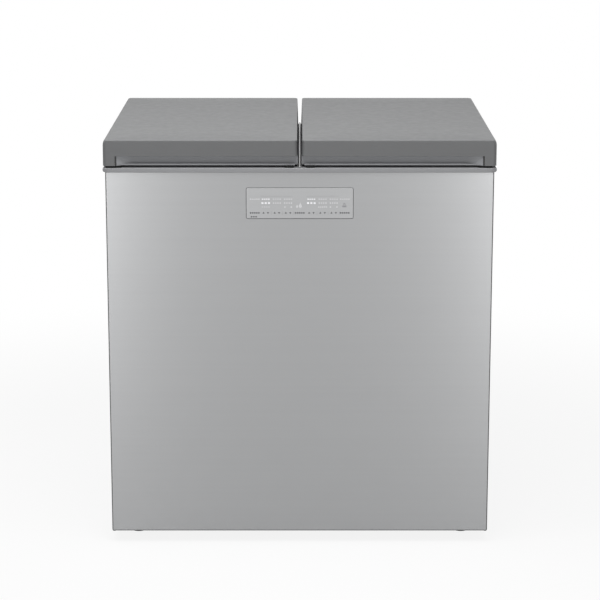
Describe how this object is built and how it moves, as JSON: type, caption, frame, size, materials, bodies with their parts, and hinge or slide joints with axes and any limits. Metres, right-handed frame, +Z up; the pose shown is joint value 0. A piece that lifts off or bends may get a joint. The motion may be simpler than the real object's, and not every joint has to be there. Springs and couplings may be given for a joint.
{
  "type": "kimchi refrigerator",
  "caption": "Chest kimchi refrigerator with side-by-side hinged lids, finger recesses, foamed tubs, rear machine compartment, front levelling feet and rear casters.",
  "frame": {"origin": "on the floor, under the middle of the outer box", "axes": "+Z up, the front panel faces -Y, +X to the right of a person who stands in front"},
  "size_m": [0.93, 0.765, 0.995],
  "materials": {
    "brushed_front": "clear-coated brushed steel",
    "painted_sheet": "satin prepainted steel",
    "galvanised_sheet": "galvanised steel",
    "frame_silver": "silver-painted moulding",
    "trim_gloss": "glossy silver strip",
    "tub_plastic": "vacuum-formed liner",
    "rigid_foam": "foamed polyurethane",
    "copper_tube": "dull copper",
    "window_film": "tinted clear window",
    "black_plastic": "moulded black",
    "circuit_board": "coated board",
    "black_paint": "black enamel",
    "white_plastic": "moulded white",
    "zinc_steel": "zinc-plated steel",
    "spring_wire": "drawn spring wire",
    "lid_grey": "painted satin grey",
    "handle_grey": "moulded satin grey",
    "seal_grey": "soft seal",
    "wheel_rubber": "moulded tread"
  },
  "bodies": {
    "cabinet": {"front_panel": "brushed_front", "side_panel_left": "painted_sheet", "side_panel_right": "painted_sheet", "back_panel": "painted_sheet", "machine_cover": "painted_sheet", "base_pan": "galvanised_sheet", "deck_panel": "galvanised_sheet", "top_frame": "frame_silver", "centre_trim": "trim_gloss", "inner_tub_left": "tub_plastic", "inner_tub_right": "tub_plastic", "cabinet_foam": "rigid_foam", "evaporator_left": "copper_tube", "evaporator_right": "copper_tube", "display_window": "window_film", "display_housing": "black_plastic", "display_board": "circuit_board", "compressor": "black_paint", "condenser": "black_paint", "fan_shroud": "black_plastic", "fan_motor": "zinc_steel", "filter_drier": "copper_tube", "suction_pipe": "copper_tube", "control_box": "white_plastic", "cord_bushing": "black_plastic", "hinge_bracket_left": "zinc_steel", "hinge_bracket_centre": "zinc_steel", "hinge_bracket_right": "zinc_steel", "hinge_pin_1": "zinc_steel", "hinge_pin_2": "zinc_steel", "hinge_pin_3": "zinc_steel", "hinge_pin_4": "zinc_steel", "hinge_spring_1": "spring_wire", "hinge_spring_2": "spring_wire", "hinge_spring_3": "spring_wire", "hinge_spring_4": "spring_wire", "caster_fork_left": "galvanised_sheet", "caster_fork_right": "galvanised_sheet", "caster_axle_left": "zinc_steel", "caster_axle_right": "zinc_steel"},
    "lid_left": {"lid_cover_left": "lid_grey", "lid_handle_left": "handle_grey", "lid_liner_left": "white_plastic", "lid_foam_left": "rigid_foam", "lid_gasket_left": "seal_grey", "hinge_arm_1": "zinc_steel", "hinge_arm_2": "zinc_steel"},
    "lid_right": {"lid_cover_right": "lid_grey", "lid_handle_right": "handle_grey", "lid_liner_right": "white_plastic", "lid_foam_right": "rigid_foam", "lid_gasket_right": "seal_grey", "hinge_arm_3": "zinc_steel", "hinge_arm_4": "zinc_steel"},
    "fan_rotor": {"fan_blade": "white_plastic"},
    "wheel_left": {"caster_wheel_left": "wheel_rubber"},
    "wheel_right": {"caster_wheel_right": "wheel_rubber"},
    "foot_left": {"levelling_foot_left": "black_plastic"},
    "foot_right": {"levelling_foot_right": "black_plastic"}
  },
  "joints": [
    {"name": "lid_left_hinge", "type": "hinge", "parent": "cabinet", "child": "lid_left", "pos_m": [-0.2338, 0.368, 0.934], "axis": [-1, 0, 0], "range_deg": [0, 80], "stiffness_Nm_per_rad": 8, "springref_deg": 97.4, "deforming": ["hinge_spring_1", "hinge_spring_2"]},
    {"name": "lid_right_hinge", "type": "hinge", "parent": "cabinet", "child": "lid_right", "pos_m": [0.2338, 0.368, 0.934], "axis": [-1, 0, 0], "range_deg": [0, 80], "stiffness_Nm_per_rad": 8, "springref_deg": 97.4, "deforming": ["hinge_spring_3", "hinge_spring_4"]},
    {"name": "condenser_fan_spin", "type": "hinge", "parent": "cabinet", "child": "fan_rotor", "pos_m": [-0.272, 0.19, 0.15], "axis": [1, 0, 0], "continuous": true},
    {"name": "caster_left_roll", "type": "hinge", "parent": "cabinet", "child": "wheel_left", "pos_m": [-0.4, 0.3, 0.013], "axis": [1, 0, 0], "continuous": true},
    {"name": "caster_right_roll", "type": "hinge", "parent": "cabinet", "child": "wheel_right", "pos_m": [0.4, 0.3, 0.013], "axis": [1, 0, 0], "continuous": true},
    {"name": "foot_left_height", "type": "slide", "parent": "cabinet", "child": "foot_left", "axis": [0, 0, -1], "range_m": [-0.003, 0.012]},
    {"name": "foot_right_height", "type": "slide", "parent": "cabinet", "child": "foot_right", "axis": [0, 0, -1], "range_m": [-0.003, 0.012]}
  ]
}
